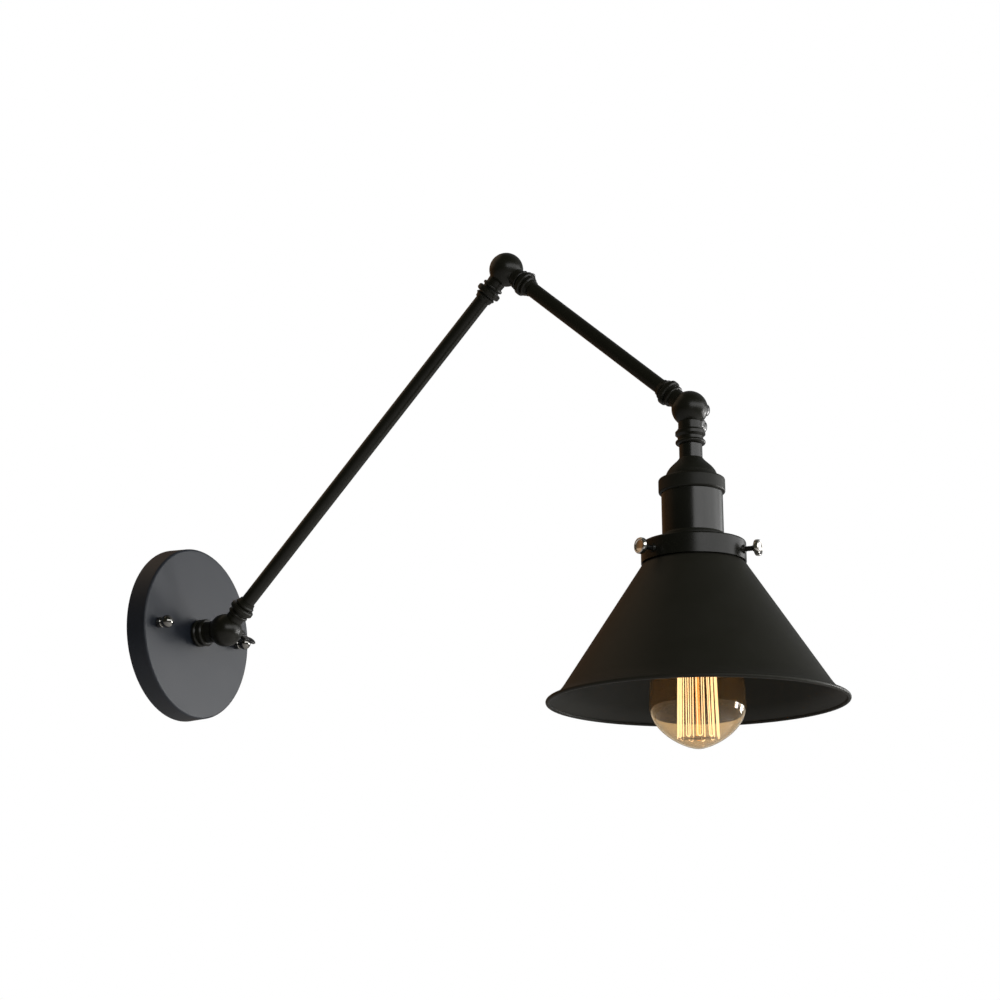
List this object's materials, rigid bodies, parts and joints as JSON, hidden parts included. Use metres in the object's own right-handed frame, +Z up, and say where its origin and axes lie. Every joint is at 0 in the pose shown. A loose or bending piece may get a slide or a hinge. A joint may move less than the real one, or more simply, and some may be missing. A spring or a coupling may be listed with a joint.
{
  "type": "swing arm wall lamp",
  "caption": "Swing-arm wall lamp: round wall plate, long and short hollow arms on clamped ball knuckles, cone metal shade and a cage-filament bulb.",
  "frame": {"origin": "middle of the wall plate's back, on the axis of its wire nipple, in the plane of the wall", "axes": "+Z up, +Y into the wall so the lamp stands out along -Y, X along the three parallel hinge axes with the wing screws on the +X side"},
  "size_m": [0.1778, 0.4677, 0.3313],
  "materials": {
    "black_coat": "satin black powder coat",
    "shade_coat": "satin black coat outside and inside",
    "polished_nickel": "polished nickel plate",
    "zinc_steel": "zinc plated steel",
    "green_screw": "green earth screw",
    "brass_sheet": "pressed brass",
    "porcelain": "glazed porcelain",
    "friction_fibre": "pressed fibre",
    "black_glass": "dark cap glass",
    "amber_glass": "clear glass with an amber tint",
    "clear_glass": "clear glass",
    "hook_wire": "support wire",
    "glowing_filament": "lit filament"
  },
  "bodies": {
    "wall_mount": {"mounting_strap": "zinc_steel", "ground_screw": "green_screw", "plate_studs": "zinc_steel", "wall_plate": "black_coat", "ball_nuts": "polished_nickel", "base_nipple": "zinc_steel", "nipple_washer": "zinc_steel", "nipple_nut": "zinc_steel", "base_knuckle": "black_coat", "base_friction_washer": "friction_fibre"},
    "long_arm": {"long_arm_base_knuckle": "black_coat", "long_arm_tube": "black_coat", "long_arm_elbow_knuckle": "black_coat", "elbow_friction_washer": "friction_fibre"},
    "short_arm": {"short_arm_elbow_knuckle": "black_coat", "short_arm_tube": "black_coat", "short_arm_head_knuckle": "black_coat", "head_friction_washer": "friction_fibre"},
    "lamp_head": {"head_knuckle": "black_coat", "head_nipple": "zinc_steel", "neck_sleeve": "black_coat", "socket_cap": "black_coat", "cap_nut": "zinc_steel", "socket_sleeve": "black_coat", "sleeve_bead": "black_coat", "ring_nut": "zinc_steel", "shade_ring": "black_coat", "socket_body": "porcelain", "screw_shell": "brass_sheet", "centre_contact": "brass_sheet", "terminal_screws": "brass_sheet", "shade": "shade_coat"},
    "base_wing": {"base_wing_screw": "black_coat"},
    "elbow_wing": {"elbow_wing_screw": "black_coat"},
    "head_wing": {"head_wing_screw": "black_coat"},
    "thumb_screw_1": {"shade_screw_1": "polished_nickel"},
    "thumb_screw_2": {"shade_screw_2": "polished_nickel"},
    "thumb_screw_3": {"shade_screw_3": "polished_nickel"},
    "bulb": {"bulb_cap": "brass_sheet", "bulb_insulator": "black_glass", "bulb_glass": "amber_glass", "bulb_stem": "clear_glass", "filament_hooks": "hook_wire", "filament": "glowing_filament"}
  },
  "joints": [
    {"name": "base_hinge", "type": "hinge", "parent": "wall_mount", "child": "long_arm", "pos_m": [0, -0.0369, 0], "axis": [1, 0, 0], "range_deg": [-45, 135]},
    {"name": "elbow_hinge", "type": "hinge", "parent": "long_arm", "child": "short_arm", "pos_m": [0, -0.25243, 0.21553], "axis": [1, 0, 0], "range_deg": [-187, 13]},
    {"name": "head_hinge", "type": "hinge", "parent": "short_arm", "child": "lamp_head", "pos_m": [0, -0.37876, 0.10177], "axis": [1, 0, 0], "range_deg": [-138, 42]},
    {"name": "base_wing_turn", "type": "hinge", "parent": "wall_mount", "child": "base_wing", "pos_m": [0, -0.0369, 0], "axis": [1, 0, 0], "range_deg": [0, 360]},
    {"name": "elbow_wing_turn", "type": "hinge", "parent": "long_arm", "child": "elbow_wing", "pos_m": [0, -0.25243, 0.21553], "axis": [1, 0, 0], "range_deg": [0, 360]},
    {"name": "head_wing_turn", "type": "hinge", "parent": "short_arm", "child": "head_wing", "pos_m": [0, -0.37876, 0.10177], "axis": [1, 0, 0], "range_deg": [0, 360]},
    {"name": "thumb_screw_1_slide", "type": "slide", "parent": "lamp_head", "child": "thumb_screw_1", "axis": [0.0698, -0.9976, 0], "range_m": [0, 0.004]},
    {"name": "thumb_screw_2_slide", "type": "slide", "parent": "lamp_head", "child": "thumb_screw_2", "axis": [0.829, 0.5592, 0], "range_m": [0, 0.004]},
    {"name": "thumb_screw_3_slide", "type": "slide", "parent": "lamp_head", "child": "thumb_screw_3", "axis": [-0.8988, 0.4384, 0], "range_m": [0, 0.004]},
    {"name": "bulb_unscrew", "type": "slide", "parent": "lamp_head", "child": "bulb", "axis": [0, 0, -1], "range_m": [0, 0.112]}
  ]
}
